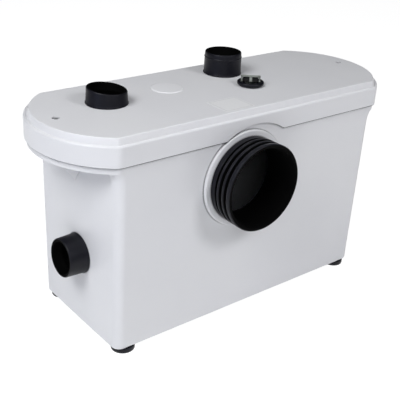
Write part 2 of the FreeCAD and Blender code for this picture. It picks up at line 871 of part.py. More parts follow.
def basket_slots():
    """The slots through the basket's wall, square to it all the way round."""
    deep = 2 * basket_wall
    slots = []
    for row in range(slot_rows):
        z = basket_bottom + slot_foot + row * slot_row_pitch
        for half, centre_y in ((0, pump_y), (180, pump_y - basket_reach)):
            for number in range(slots_per_half_circle):
                slot = block(basket_radius - deep, basket_radius + basket_wall, -slot_width / 2, slot_width / 2,
                             z, z + slot_height)
                slot.rotate(vec(0, 0, 0), up, half + (number + 0.5) * 180 / slots_per_half_circle)
                slot.translate(vec(pump_x, centre_y, 0))
                slots.append(slot)
        for number in range(slots_per_side):
            y = pump_y - (number + 0.5) * basket_reach / slots_per_side
            for side in (-1, 1):
                wall_x = pump_x + side * basket_radius
                slots.append(block(wall_x - deep, wall_x + deep, y - slot_width / 2, y + slot_width / 2,
                                   z, z + slot_height))
    return slots


def basket():
    tub = basket_form(0.0, basket_bottom, basket_top)
    tub = tub.cut(basket_form(basket_wall, basket_bottom + basket_wall, basket_top))
    tub = tub.cut(rod(pump_x, pump_y, basket_bottom, cutter_hub, basket_wall))
    return tub.cut(basket_slots())


def shaft():
    """The motor's shaft, with a six-sided head under the impeller."""
    bottom = shaft_bottom - shaft_head_height
    corners = []
    for number in range(7):
        angle = math.radians(number * 60)
        corners.append(vec(pump_x + shaft_head * math.cos(angle), pump_y + shaft_head * math.sin(angle), bottom))
    head = Part.Face(Part.makePolygon(corners)).extrude(vec(0, 0, shaft_head_height))
    return fused([rod(pump_x, pump_y, bottom, shaft_radius, can_top + shaft_tail - bottom), head])


def impeller():
    disc_bottom = plate_bottom - impeller_gap - impeller_disc
    pieces = [rod(pump_x, pump_y, disc_bottom, impeller_radius, impeller_disc),
              rod(pump_x, pump_y, shaft_bottom, impeller_hub, disc_bottom - shaft_bottom)]
    sweep = rod(pump_x, pump_y, shaft_bottom, impeller_radius, disc_bottom - shaft_bottom)
    for number in range(impeller_vanes):
        vane = block(0, impeller_radius, -vane_width / 2, vane_width / 2, shaft_bottom, disc_bottom)
        vane.rotate(vec(0, 0, 0), up, number * 360 / impeller_vanes)
        vane.translate(vec(pump_x, pump_y, 0))
        pieces.append(vane.common(sweep))
    return fused(pieces).cut(rod(pump_x, pump_y, shaft_bottom, shaft_radius, chamber_height))


def cutter():
    bottom = basket_bottom + basket_wall + cutter_lift
    half = cutter_width / 2
    blade = block(-cutter_radius, cutter_radius, -half, half, bottom, bottom + cutter_thickness)
    tips = [block(side * cutter_radius - cutter_thickness, side * cutter_radius + cutter_thickness, -half, half,
                  bottom, bottom + cutter_tip_height) for side in (-1, 1)]
    sweep = rod(0, 0, bottom, cutter_radius, cutter_tip_height)
    body = fused([blade] + tips).common(sweep)
    body = fused([body, rod(0, 0, bottom, cutter_hub - cutter_hub_gap, cutter_hub_height)])
    body = body.cut(rod(0, 0, bottom, shaft_radius, cutter_hub_height))
    body.translate(vec(pump_x, pump_y, 0))
    return body


def motor_base():
    body = fused([rod(pump_x, pump_y, basket_top, can_radius, motor_plate)] + ears(basket_top, can_bottom))
    hub = rod(pump_x, pump_y, can_bottom, bearing_radius + bearing_hub_wall, bearing_height)
    body = body.fuse(hub)
    body = body.cut(rod(pump_x, pump_y, basket_top, seal_radius, motor_plate))
    body = body.cut(rod(pump_x, pump_y, lower_bearing, bearing_radius, bearing_height))
    return body.cut(tie_holes(basket_top, can_bottom)).removeSplitter()


def shaft_seal():
    bottom = basket_top - seal_drop
    bore = shaft_radius + running_gap
    seal = turned([(bore, bottom), (seal_lip, bottom), (seal_lip, basket_top), (seal_radius, basket_top),
                   (seal_radius, can_bottom), (bore, can_bottom)])
    seal.translate(vec(pump_x, pump_y, 0))
    return seal


def bearing(bottom):
    ring = tube(pump_x, pump_y, bottom, bearing_radius, shaft_radius + running_gap, bearing_height)
    for z in (bottom, bottom + bearing_height - bearing_groove_depth):
        ring = ring.cut(tube(pump_x, pump_y, z, bearing_groove_outer, bearing_groove_inner, bearing_groove_depth))
    return ring


def rotor_core():
    return tube(pump_x, pump_y, stator_bottom, rotor_radius, shaft_radius, stator_height)


def stator():
    return tube(pump_x, pump_y, stator_bottom, can_radius - can_wall, rotor_radius + air_gap, stator_height)


def winding(bottom):
    return tube(pump_x, pump_y, bottom, winding_outer, winding_inner, winding_height)


def motor_can():
    return tube(pump_x, pump_y, can_bottom, can_radius, can_radius - can_wall, can_height)


def motor_end_shield():
    inner = can_radius - can_wall
    shield = fused([rod(pump_x, pump_y, can_top - end_shield, inner, end_shield),
                    rod(pump_x, pump_y, upper_bearing, bearing_radius + bearing_hub_wall, bearing_height)])
    return shield.cut(rod(pump_x, pump_y, upper_bearing, bearing_radius, bearing_height))


def motor_cap():
    outer = turned([(0, can_top), (can_radius, can_top), (can_radius, cap_top), (0, cap_top)])
    outer = round_rims(outer, cap_round, [(can_radius, cap_top)])
    inside = can_radius - cap_wall
    inner = turned([(0, can_top), (inside, can_top), (inside, cap_top - cap_wall), (0, cap_top - cap_wall)])
    inner = round_rims(inner, cap_round - cap_wall, [(inside, cap_top - cap_wall)])
    ribs = []
    for number in range(cap_rib_count):
        rib = block(0, can_radius - cap_round, -cap_rib_width / 2, cap_rib_width / 2, cap_top,
                    cap_top + cap_rib_height)
        rib.rotate(vec(0, 0, 0), up, number * 360 / cap_rib_count)
        ribs.append(rib)
    cap = fused([outer] + ribs)
    cap.translate(vec(pump_x, pump_y, 0))
    collar_start = pump_x + can_radius - lead_collar
    cap = cap.fuse(rod(collar_start, lead_y, lead_z, lead_collar_radius, 2 * lead_collar, along_x))
    inner.translate(vec(pump_x, pump_y, 0))
    cap = cap.cut(inner)
    return cap.cut(rod(collar_start, lead_y, lead_z, lead_radius, 2 * lead_collar, along_x)).removeSplitter()


def motor_lead():
    start = pump_x + can_radius - lead_inside
    end = box_left + box_wall + lead_inside
    first = vec(start + lead_collar + lead_straight, lead_y, lead_z)
    last = vec(box_left - lead_straight, lead_y, lead_z)
    middle = vec((first.x + last.x) / 2, lead_y, lead_z - lead_sag)
    curve = Part.BSplineCurve()
    curve.interpolate(Points=[first, middle, last], InitialTangent=along_x, FinalTangent=along_x)
    path = Part.Wire([Part.makeLine(vec(start, lead_y, lead_z), first), curve.toShape(),
                      Part.makeLine(last, vec(end, lead_y, lead_z))])
    ring = Part.Wire([Part.makeCircle(lead_radius, vec(start, lead_y, lead_z), along_x)])
    return path.makePipeShell([ring], True, True)


def elbow_form(straight_radius, socket_radius):
    """The elbow as a solid rod: a socket, a straight piece, a quarter bend and a short upright end."""
    bend_x = outlet_x - elbow_radius
    straight_start = elbow_start + elbow_socket_length
    bend_z = outlet_pipe_z + elbow_radius
    disc = Part.Face(Part.Wire([Part.makeCircle(straight_radius, vec(bend_x, outlet_y, outlet_pipe_z), along_x)]))
    bend = disc.revolve(vec(bend_x, outlet_y, bend_z), along_y, -90)
    return [rod(elbow_start, outlet_y, outlet_pipe_z, socket_radius, elbow_socket_length, along_x),
            rod(straight_start, outlet_y, outlet_pipe_z, straight_radius, bend_x - straight_start, along_x),
            bend, rod(outlet_x, outlet_y, bend_z, straight_radius, valve_flange_height)]


def outlet_elbow():
    body = fused(elbow_form(outlet_pipe_bore + elbow_wall, outlet_pipe_radius + elbow_socket_wall))
    bend_z = outlet_pipe_z + elbow_radius
    body = body.fuse(rod(outlet_x, outlet_y, bend_z, valve_flange, valve_flange_height))
    return body.cut(elbow_form(outlet_pipe_bore, outlet_pipe_radius)).removeSplitter()


def hose_clamp():
    inner = outlet_pipe_radius + elbow_socket_wall
    start = elbow_start + (elbow_socket_length - clamp_width) / 2
    band = tube(start, outlet_y, outlet_pipe_z, inner + clamp_band, inner, clamp_width, along_x)
    side = outlet_y + inner
    housing = block(start, start + clamp_width, side - clamp_band, side + clamp_screw, outlet_pipe_z - clamp_screw,
                    outlet_pipe_z + clamp_screw)
    housing = housing.cut(rod(start, outlet_y, outlet_pipe_z, inner, clamp_width, along_x))
    return fused([band, housing])


def flap(radius, thickness, weight_radius, weight_height, offset):
    """A weighted check flap on the plane Z = 0. It opens upwards about a hinge along Y at X = -offset."""
    leaf = rod(0, 0, seat_gap, radius, thickness)
    arm = block(-offset, -radius / 2, -hinge_knuckle_half, hinge_knuckle_half, seat_gap, seat_gap + thickness)
    knuckle = rod(-offset, -hinge_knuckle_half, hinge_lift, hinge_knuckle, 2 * hinge_knuckle_half, along_y)
    weight = rod(0, 0, seat_gap, weight_radius, thickness + weight_height)
    body = fused([leaf, arm, knuckle, weight])
    bore = hinge_pin_radius + running_gap
    return body.cut(rod(-offset, -hinge_knuckle_half, hinge_lift, bore, 2 * hinge_knuckle_half, along_y))


def flap_lugs(offset, sunk):
    """Two lugs with a flap's hinge pin between them. They go below the plane by sunk."""
    pin_half = hinge_knuckle_half + hinge_side_gap + hinge_lug_width
    lugs = [rod(-offset, -pin_half, hinge_lift, hinge_pin_radius, 2 * pin_half, along_y)]
    for side in (-1, 1):
        near = side * (hinge_knuckle_half + hinge_side_gap)
        far = near + side * hinge_lug_width
        low, high = min(near, far), max(near, far)
        lug = block(-offset - hinge_knuckle, -offset + hinge_knuckle, low, high, -sunk, hinge_lift)
        lugs += [lug, rod(-offset, low, hinge_lift, hinge_knuckle, hinge_lug_width, along_y)]
    return lugs


def at_valve(shape):
    """Moves a piece from the plane Z = 0 to the seat of the discharge's check valve."""
    shape.translate(vec(outlet_x, outlet_y, valve_seat))
    return shape


def check_valve_body():
    body = rod(0, 0, -valve_seat_height, valve_outer, valve_seat_height + valve_chamber_height)
    body = body.cut(rod(0, 0, 0, valve_bore, valve_chamber_height))
    body = body.cut(rod(0, 0, -valve_seat_height, valve_seat_bore, valve_seat_height))
    return at_valve(fused([body] + flap_lugs(valve_hinge_offset, valve_seat_height / 2)))


def riser_pipe():
    bore = pipe_bore - riser_wall
    pipe = tube(outlet_x, outlet_y, valve_top, pipe_bore, bore, riser_top - valve_top)
    return fused([pipe, tube(outlet_x, outlet_y, valve_top, valve_outer, bore, riser_flange_height)])


def at_side_inlet(shape):
    """Moves a piece from the plane Z = 0 to the inner face of the side inlet's flap frame."""
    shape.rotate(vec(0, 0, 0), along_y, 90)
    shape.translate(vec(-wall_inside + flap_frame_depth, side_inlet_y, side_inlet_z))
    return shape


def side_flap_frame():
    frame = rod(0, 0, -flap_frame_depth, flap_frame_radius, flap_frame_depth)
    frame = frame.cut(rod(0, 0, -flap_frame_depth, flap_frame_cavity, flap_frame_depth - flap_frame_plate))
    frame = frame.cut(rod(0, 0, -flap_frame_plate, flap_frame_bore, flap_frame_plate))
    return at_side_inlet(fused([frame] + flap_lugs(side_hinge_offset, flap_frame_plate / 2)))


def control_box():
    half_x = box_length / 2
    half_y = box_width / 2
    floor = box_bottom + box_wall
    body = block(box_x - half_x, box_x + half_x, box_y - half_y, box_y + half_y, box_bottom, box_top)
    body = body.cut(block(box_x - half_x + box_wall, box_x + half_x - box_wall, box_y - half_y + box_wall,
                          box_y + half_y - box_wall, floor, box_top))
    extras = [rod(x, y, box_bottom, box_pillar, box_height) for x, y in box_corners()]
    bracket_x = box_x - switch_length / 2
    extras.append(block(bracket_x - switch_bracket, bracket_x, box_y - switch_width / 2, box_y + switch_width / 2,
                        floor, switch_bottom + switch_height))
    extras.append(rod(box_left - lead_collar, lead_y, lead_z, lead_collar_radius, lead_collar, along_x))
    body = body.fuse(extras)
    body = body.cut(rod(box_left - lead_collar, lead_y, lead_z, lead_radius, lead_collar + box_wall, along_x))
    hole = plunger_plate_radius + plunger_hole_gap
    return body.cut(rod(box_x, box_y, box_bottom, hole, box_wall)).removeSplitter()


def control_box_cover():
    half_x = box_length / 2
    half_y = box_width / 2
    return block(box_x - half_x, box_x + half_x, box_y - half_y, box_y + half_y, box_top, cover_top)


def pressure_bell():
    inner = dip_tube_radius - dip_tube_wall
    bell = turned([
        (inner, dip_tube_bottom), (dip_tube_radius, dip_tube_bottom), (dip_tube_radius, bell_bottom),
        (bell_radius, bell_bottom), (bell_radius, membrane_bottom), (bell_radius - bell_wall, membrane_bottom),
        (bell_radius - bell_wall, bell_bottom + bell_wall), (inner, bell_bottom + bell_wall)])
    bell.translate(vec(box_x, box_y, 0))
    return bell


def membrane():
    return rod(box_x, box_y, membrane_bottom, bell_radius, membrane_thickness)


def plunger():
    stem = plunger_height - plunger_tip
    return fused([rod(box_x, box_y, box_bottom, plunger_plate_radius, plunger_plate_height),
                  rod(box_x, box_y, box_bottom, plunger_stem_radius, stem),
                  rod(box_x, box_y, box_bottom + stem, plunger_tip_radius, plunger_tip)])


lever_axis_x = box_x - lever_hinge_back
lever_axis_z = lever_z + lever_thickness / 2


def switch_lever():
    half = lever_width / 2
    strip = block(lever_axis_x, box_x + lever_reach, box_y - half, box_y + half, lever_z, lever_z + lever_thickness)
    knuckle = rod(lever_axis_x, box_y - half, lever_axis_z, lever_knuckle, lever_width, along_y)
    bore = rod(lever_axis_x, box_y - half, lever_axis_z, lever_pin_radius + running_gap, lever_width, along_y)
    return fused([strip, knuckle]).cut(bore)


def micro_switch():
    half_x = switch_length / 2
    half_y = switch_width / 2
    pieces = [block(box_x - half_x, box_x + half_x, box_y - half_y, box_y + half_y, switch_bottom,
                    switch_bottom + switch_height),
              rod(box_x, box_y, switch_bottom - switch_button_height, switch_button_radius, switch_button_height)]
    near = lever_width / 2 + lever_side_gap
    for low in (box_y + near, box_y - near - switch_lug):
        pieces.append(block(lever_axis_x - switch_lug_half, lever_axis_x + switch_lug_half, low, low + switch_lug,
                            lever_axis_z - switch_lug_half, switch_bottom))
    half = near + switch_lug
    pieces.append(rod(lever_axis_x, box_y - half, lever_axis_z, lever_pin_radius, 2 * half, along_y))
    return fused(pieces)


def capacitor():
    z = box_bottom + box_wall + capacitor_radius
    start = box_x - capacitor_length / 2
    return rod(start, box_y + capacitor_shift_y, z, capacitor_radius, capacitor_length, along_x)


def terminal_block():
    x = box_x + terminal_shift_x
    y = box_y + terminal_shift_y
    bottom = box_bottom + box_wall
    top = bottom + terminal_height
    body = block(x - terminal_length / 2, x + terminal_length / 2, y - terminal_width / 2, y + terminal_width / 2,
                 bottom, top)
    pitch = terminal_length / terminal_ways
    for number in range(terminal_ways):
        screw_x = x - terminal_length / 2 + (number + 0.5) * pitch
        body = body.cut(rod(screw_x, y, top - terminal_screw_depth, terminal_screw_radius, terminal_screw_depth))
    return body


def save(name, shape):
    shape.translate(vec(0, frame_shift, 0))
    shape.exportStep(f"parts/{name}.step")
    print(name, "solids", len(shape.Solids), "valid", shape.isValid(), "volume", round(shape.Volume))


os.makedirs("parts", exist_ok=True)
for name, piece in tank_pieces():
    save(name, piece)
save("lid", lid())
save("lid_gasket", lid_gasket())
save("lid_screw_left", lid_screw(-1))
save("lid_screw_right", lid_screw(1))
for name, x, y in foot_places():
    save(name, foot(x, y))
save("wc_inlet_sleeve", wc_inlet_sleeve())
save("side_inlet_sleeve", side_inlet_sleeve())
save("top_inlet_sleeve", top_inlet_sleeve())
save("discharge_sleeve", outlet_sleeve())
save("vent_grommet", vent_grommet())
save("vent_cap", vent_cap())
save("filter_cup", filter_cup())
save("charcoal_filter", charcoal_filter())
save("cable_gland", cable_gland())
save("cable_gland_nut", gland_nut_ring())
save("pump_mount", pump_mount())
save("suction_cover", suction_cover())
save("pump_casing", pump_casing())
for number, (x, y) in enumerate(tie_places(), 1):
    save(f"tie_rod_{number}", tie_rod(x, y))
save("basket", basket())
save("shaft", shaft())
save("impeller", impeller())
save("cutter", cutter())
save("motor_base", motor_base())
save("shaft_seal", shaft_seal())
save("bearing_lower", bearing(lower_bearing))
save("bearing_upper", bearing(upper_bearing))
save("rotor_core", rotor_core())
save("stator", stator())
save("winding_lower", winding(stator_bottom - winding_height))
save("winding_upper", winding(stator_top))
save("motor_can", motor_can())
save("motor_end_shield", motor_end_shield())
save("motor_cap", motor_cap())
save("motor_lead", motor_lead())
save("discharge_elbow", outlet_elbow())
save("hose_clamp", hose_clamp())
save("check_valve_body", check_valve_body())
save("check_valve_flap", at_valve(flap(valve_flap_radius, valve_flap_thickness, valve_weight_radius,
                                       valve_weight_height, valve_hinge_offset)))
save("riser_pipe", riser_pipe())
save("side_flap_frame", side_flap_frame())
save("side_flap", at_side_inlet(flap(side_flap_radius, side_flap_thickness, side_weight_radius,
                                     side_weight_height, side_hinge_offset)))
save("control_box", control_box())
save("control_box_cover", control_box_cover())
save("pressure_bell", pressure_bell())
save("membrane", membrane())
save("plunger", plunger())
save("switch_lever", switch_lever())
save("micro_switch", micro_switch())
save("capacitor", capacitor())
save("terminal_block", terminal_block())
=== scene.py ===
"""The looks of a sewage lifting station for a bathroom.

A white moulded tank and lid, black rubber sleeves for the toilet and the pipes, a vent, rubber
feet, a cord gland and a blank label. The pump and the switch inside keep the CAD's form.
"""

import json
import math

import bmesh
import bpy
from mathutils import Matrix, Vector


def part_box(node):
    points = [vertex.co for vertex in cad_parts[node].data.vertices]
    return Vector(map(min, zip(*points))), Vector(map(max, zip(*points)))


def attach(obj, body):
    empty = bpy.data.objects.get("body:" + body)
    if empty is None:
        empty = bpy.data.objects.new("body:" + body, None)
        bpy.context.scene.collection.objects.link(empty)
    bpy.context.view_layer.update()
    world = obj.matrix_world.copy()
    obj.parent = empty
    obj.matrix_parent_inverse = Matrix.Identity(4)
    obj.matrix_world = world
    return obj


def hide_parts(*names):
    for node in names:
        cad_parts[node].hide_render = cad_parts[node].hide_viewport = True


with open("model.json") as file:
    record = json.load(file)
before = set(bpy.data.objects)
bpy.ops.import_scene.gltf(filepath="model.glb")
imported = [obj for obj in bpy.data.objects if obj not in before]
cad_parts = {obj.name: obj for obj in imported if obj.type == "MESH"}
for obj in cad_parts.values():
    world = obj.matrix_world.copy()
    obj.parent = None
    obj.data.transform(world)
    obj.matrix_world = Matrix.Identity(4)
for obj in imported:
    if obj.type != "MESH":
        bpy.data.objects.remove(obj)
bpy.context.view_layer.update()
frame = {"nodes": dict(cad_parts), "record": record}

MM = 0.001
UP = Vector((0, 0, 1))
LEFT = Vector((-1, 0, 0))
RIGHT = Vector((1, 0, 0))
FRONT = Vector((0, -1, 0))


# Colours and nodes

def hex_colour(code):
    """An sRGB hex value as linear RGBA."""
    channels = [int(code[i:i + 2], 16) / 255 for i in (1, 3, 5)]
    linear = [c / 12.92 if c <= 0.04045 else ((c + 0.055) / 1.055) ** 2.4 for c in channels]
    return (*linear, 1.0)


def add(tree, kind, inputs=None, **settings):
    """Adds a node with its settings. An input is a value or another node's output."""
    node = tree.nodes.new(kind)
    for name, value in settings.items():
        setattr(node, name, value)
    for name, value in (inputs or {}).items():
        if isinstance(value, bpy.types.NodeSocket):
            tree.links.new(value, node.inputs[name])
        else:
            node.inputs[name].default_value = value
    return node


def new_material(name):
    material = bpy.data.materials.new(name)
    material.use_nodes = True
    material.node_tree.nodes.clear()
    return material, material.node_tree


def finish_material(tree, surface):
    add(tree, "ShaderNodeOutputMaterial", {"Surface": surface})


# Nearly all values of a noise lie between these two
NOISE_LOW, NOISE_HIGH = 0.3, 0.7


def mottle(tree, size_mm, low, high):
    """A soft cloudy value between low and high, with patches about size_mm wide."""
    place = add(tree, "ShaderNodeTexCoord")
    noise = add(tree, "ShaderNodeTexNoise", {
        "Vector": place.outputs["Object"], "Scale": 1 / (size_mm * MM), "Detail": 3.0})
    value = add(tree, "ShaderNodeMapRange", {
        "Value": noise.outputs["Fac"], "From Min": NOISE_LOW, "From Max": NOISE_HIGH,
        "To Min": low, "To Max": high})
    return value.outputs["Result"]


def two_tone(tree, factor, first, second):
    mix = add(tree, "ShaderNodeMix", {"Factor": factor}, data_type="RGBA")
    mix.inputs["A"].default_value = hex_colour(first)
    mix.inputs["B"].default_value = hex_colour(second)
    return mix.outputs["Result"]


def grain_bump(tree, size_mm, height_mm):
    """The fine surface grain of a moulded piece."""
    place = add(tree, "ShaderNodeTexCoord")
    noise = add(tree, "ShaderNodeTexNoise", {
        "Vector": place.outputs["Object"], "Scale": 1 / (size_mm * MM), "Detail": 2.0})
    bump = add(tree, "ShaderNodeBump", {
        "Height": noise.outputs["Fac"], "Distance": height_mm * MM, "Strength": 1.0})
    return bump.outputs["Normal"]


# Painted shade: deepest where less than the first of these shares of the view is open, none
# where more than the second is
FULL_SHADE_BELOW, NO_SHADE_ABOVE = 0.5, 0.85
DEEPEST_PAINTED_SHADE = 0.3


def darkened_by_painted_shade(tree, colour, gap_mm):
    """The colour, darkened by painted shade in joints and inner corners about gap_mm wide."""
    # Ambient occlusion sets how much painted shade falls in the joints and corners
    openness = add(tree, "ShaderNodeAmbientOcclusion", {"Distance": gap_mm * MM}, samples=8)
    shade_level = add(tree, "ShaderNodeMapRange", {
        "Value": openness.outputs["AO"], "From Min": FULL_SHADE_BELOW, "From Max": NO_SHADE_ABOVE,
        "To Min": DEEPEST_PAINTED_SHADE, "To Max": 1.0})
    shaded_colour = add(tree, "ShaderNodeMix", {"Factor": 1.0}, data_type="RGBA", blend_type="MULTIPLY")
    tree.links.new(colour, shaded_colour.inputs["A"])
    tree.links.new(shade_level.outputs["Result"], shaded_colour.inputs["B"])
    return shaded_colour.outputs["Result"]


MOULDED_GLOSS_SPREAD = 0.04


def moulded(name, first, second, roughness, patch_mm=90.0, grain_mm=1.2, grain_height_mm=0.01,
            ior=1.5, sheen=0.5, gap_mm=0.0):
    """A moulded plastic or rubber: two near tones in soft patches, and a fine grain.

    With gap_mm it is darkened by painted shade in its joints and inner corners.
    """
    material, tree = new_material(name)
    colour = two_tone(tree, mottle(tree, patch_mm, 0.0, 1.0), first, second)
    if gap_mm:
        colour = darkened_by_painted_shade(tree, colour, gap_mm)
    gloss = mottle(tree, patch_mm / 3, roughness - MOULDED_GLOSS_SPREAD,
                   roughness + MOULDED_GLOSS_SPREAD)
    shader = add(tree, "ShaderNodeBsdfPrincipled", {
        "Base Color": colour, "Roughness": gloss, "IOR": ior, "Specular IOR Level": sheen,
        "Normal": grain_bump(tree, grain_mm, grain_height_mm)})
    finish_material(tree, shader.outputs["BSDF"])
    return material


METAL_GRAIN_MM = 10 / 3
METAL_GLOSS_SPREAD = 0.08


def brushed_metal(name, first, second, roughness, stretch=(1.0, 1.0, 40.0)):
    """A metal with fine drawn lines: the grain is pressed together along the stretched axis.

    The lines are coarser than the real ones, so that they show.
    """
    material, tree = new_material(name)
    place = add(tree, "ShaderNodeTexCoord")
    stretched = add(tree, "ShaderNodeMapping", {
        "Vector": place.outputs["Object"], "Scale": stretch})
    lines = add(tree, "ShaderNodeTexNoise", {
        "Vector": stretched.outputs["Vector"], "Scale": 1 / (METAL_GRAIN_MM * MM), "Detail": 2.0})
    gloss = add(tree, "ShaderNodeMapRange", {
        "Value": lines.outputs["Fac"], "To Min": roughness - METAL_GLOSS_SPREAD,
        "To Max": roughness + METAL_GLOSS_SPREAD})
    shader = add(tree, "ShaderNodeBsdfPrincipled", {
        "Base Color": two_tone(tree, lines.outputs["Fac"], first, second), "Metallic": 1.0,
        "Roughness": gloss.outputs["Result"]})
    finish_material(tree, shader.outputs["BSDF"])
    return material


def frosted_plastic(name, first, second, roughness):
    """A natural plastic, moulded thin: cloudy and half see-through, with a soft sheen."""
    material, tree = new_material(name)
    shader = add(tree, "ShaderNodeBsdfPrincipled", {
        "Base Color": two_tone(tree, mottle(tree, 6.0, 0.0, 1.0), first, second),
        "Roughness": roughness, "IOR": 1.5, "Transmission Weight": 0.45,
        "Normal": grain_bump(tree, 0.8, 0.01)})
    finish_material(tree, shader.outputs["BSDF"])
    return material


LABEL_LINE_INSET = 2.2 * MM
LABEL_LINE_HALF = 0.35 * MM
LABEL_INK = 0.45


def framed_label(name, centre, size):
    """A vinyl sticker, blank but for a thin printed frame."""
    material, tree = new_material(name)
    place = add(tree, "ShaderNodeTexCoord")
    local = add(tree, "ShaderNodeVectorMath", {0: place.outputs["Object"], 1: centre},
                operation="SUBTRACT")
    axes = add(tree, "ShaderNodeSeparateXYZ", {"Vector": local.outputs["Vector"]})
    margins = []
    for axis, length in (("X", size[0]), ("Y", size[1])):
        away = add(tree, "ShaderNodeMath", {0: axes.outputs[axis]}, operation="ABSOLUTE")
        margins.append(add(tree, "ShaderNodeMath", {0: length / 2, 1: away.outputs["Value"]},
                           operation="SUBTRACT"))
    nearest = add(tree, "ShaderNodeMath", {
        0: margins[0].outputs["Value"], 1: margins[1].outputs["Value"]}, operation="MINIMUM")
    frame_line = add(tree, "ShaderNodeMath", {
        0: nearest.outputs["Value"], 1: LABEL_LINE_INSET, 2: LABEL_LINE_HALF}, operation="COMPARE")
    ink = add(tree, "ShaderNodeMath", {0: frame_line.outputs["Value"], 1: LABEL_INK},
              operation="MULTIPLY")
    shader = add(tree, "ShaderNodeBsdfPrincipled", {
        "Base Color": two_tone(tree, ink.outputs["Value"], "#efefef", "#8d9096"),
        "Roughness": 0.28, "IOR": 1.5})
    finish_material(tree, shader.outputs["BSDF"])
    return material


# Satin white polypropylene, moulded in a lightly blasted tool: broad soft highlights.
WHITE = moulded("satin_white_polypropylene", "#e6e6e7", "#e3e3e5", 0.36, patch_mm=140.0,
                grain_mm=1.6, grain_height_mm=0.012, ior=1.49)
# The same plastic with painted shade in its joints and inner corners: the tank where lid, boss
# and pockets meet its walls, and the dishes of the lid's screws.
TANK_WHITE = moulded("satin_white_polypropylene_corner_painted_shade", "#e7e7e8", "#e4e4e6", 0.36,
                     patch_mm=140.0, grain_mm=1.6, grain_height_mm=0.012, ior=1.49, gap_mm=3.2)
# The same plastic where the mould's insert is polished: a shade lighter.
PLATE_WHITE = moulded("polished_white_polypropylene", "#eeeeef", "#ececee", 0.3, patch_mm=140.0,
                      grain_mm=1.6, grain_height_mm=0.006, ior=1.49)
# Black EPDM rubber, moulded: deep black with a dull sheen on the rounded lips; the blue cast in
# its colour is painted, and stands for the bluish reflections of the lamps.
RUBBER = moulded("black_epdm_rubber", "#070710", "#0a0a15", 0.42, patch_mm=30.0, grain_mm=0.9,
                 grain_height_mm=0.012, ior=1.52, sheen=0.25)
# The same rubber, dull and a shade darker: inside the sleeves, straight from the mould's core,
# with hardly a sheen, its darker colour paints the shade deep in the bores; under the lid's
# skirt it paints the shadow in the gap over the tank's rim.
DULL_RUBBER_PAINTED_SHADE = moulded("black_epdm_rubber_unpolished_painted_shade", "#020202", "#040404", 0.8, patch_mm=30.0,
                      grain_mm=0.9, grain_height_mm=0.02, ior=1.3, sheen=0.12)
# Turned steel for the lid's screws, coloured nearly black to paint the shade deep in their
# dishes, with a dull glint.
SCREW_STEEL_PAINTED_SHADE = brushed_metal("steel_near_black_painted_shade", "#2c2c2e", "#1c1c1e", 0.45)
# Natural polyethylene for the vent's cap: cloudy, so that the charcoal shows through it.
CLOUDY = frosted_plastic("natural_polyethylene_cap", "#969b92", "#b9beb6", 0.3)
# Stainless steel, turned, for the shaft, the clamp and the pump's rods: bright fine lines.
STEEL = brushed_metal("turned_stainless_steel", "#b9babd", "#9d9ea2", 0.32)
# Black glass-filled polyamide, moulded, for the pump's housings: dull, a little grey.
PUMP_BLACK = moulded("black_glass_filled_polyamide", "#17181b", "#1d1e21", 0.55, patch_mm=20.0,
                     grain_mm=0.9, grain_height_mm=0.02)
# Grey polypropylene, moulded, for the control box and the filter cup: plain and satin.
GREY = moulded("grey_polypropylene", "#8f9195", "#96989c", 0.5, patch_mm=30.0)
# Light grey polyamide, moulded, for the cord's gland: plain, a little glossier.
GLAND_GREY = moulded("light_grey_polyamide_gland", "#a5a8ac", "#aaadb1", 0.42, patch_mm=12.0)
# Activated charcoal, pressed to a block: black, matt and granular.
CHARCOAL = moulded("activated_charcoal_block", "#070707", "#181818", 0.9, patch_mm=2.0,
                   grain_mm=1.5, grain_height_mm=0.25)
# Stoved enamel on steel sheet, for the motor's can: dark and smooth.
CAN = moulded("dark_stoved_enamel_on_steel", "#1f2126", "#25272c", 0.45, patch_mm=40.0)
# Electrical steel, stacked: dull grey with the edges of its sheets.
CORE = brushed_metal("stacked_electrical_steel", "#6d6e70", "#4f5052", 0.5, (1.0, 1.0, 6.0))
# Enamelled copper wire, wound and varnished: warm, with soft bands.
COPPER = brushed_metal("varnished_copper_wire", "#b5673a", "#8a4a26", 0.35, (1.0, 1.0, 8.0))
# Aluminium, die cast and left so: pale and even.
CAST = brushed_metal("die_cast_aluminium", "#b4b6b8", "#9a9c9f", 0.48, (1.0, 1.0, 1.0))

SLOT_MATERIALS = {
    "shell": WHITE, "seal_rubber": RUBBER, "vent_plastic": CLOUDY, "filter_plastic": GREY,
    "charcoal": CHARCOAL, "gland_plastic": GLAND_GREY, "pump_plastic": PUMP_BLACK,
    "basket_plastic": PUMP_BLACK, "stainless": STEEL, "core_iron": CORE, "copper_wire": COPPER,
    "shield_metal": CAST,
}
# Nodes that look different from the rest of their slot
NODE_MATERIALS = {
    "motor_can": CAN, "motor_lead": PUMP_BLACK, "motor_cap": PUMP_BLACK,
    # The screws are near black: painted shade deep in their dishes
    "lid_screw_left": SCREW_STEEL_PAINTED_SHADE, "lid_screw_right": SCREW_STEEL_PAINTED_SHADE,
}


# Meshes

def new_piece(name, shape, material, replaces=(), body="station"):
    """Makes an object of a bmesh, and puts it on its body."""
    mesh = bpy.data.meshes.new(name)
    shape.to_mesh(mesh)
    shape.free()
    piece = bpy.data.objects.new(name, mesh)
    bpy.context.scene.collection.objects.link(piece)
    mesh.materials.append(material)
    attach(piece, body)
    if replaces:
        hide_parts(*replaces)
    return piece


def smooth_by_angle(shape, degrees):
    """Smooth faces, with an edge kept sharp where its two faces turn by more than this."""
    limit = math.radians(degrees)
    for face in shape.faces:
        face.smooth = True
    for edge in shape.edges:
        edge.smooth = len(edge.link_faces) == 2 and edge.calc_face_angle() < limit


def weighted_normals(piece):
    """Lets the large flat faces set the shading of their edges."""
    modifier = piece.modifiers.new("flat_faces_lead", "WEIGHTED_NORMAL")
    modifier.keep_sharp = True
    modifier.weight = 80
    return piece


ON_SEAM = 0.01 * MM
SAME_PLACE = 0.002 * MM


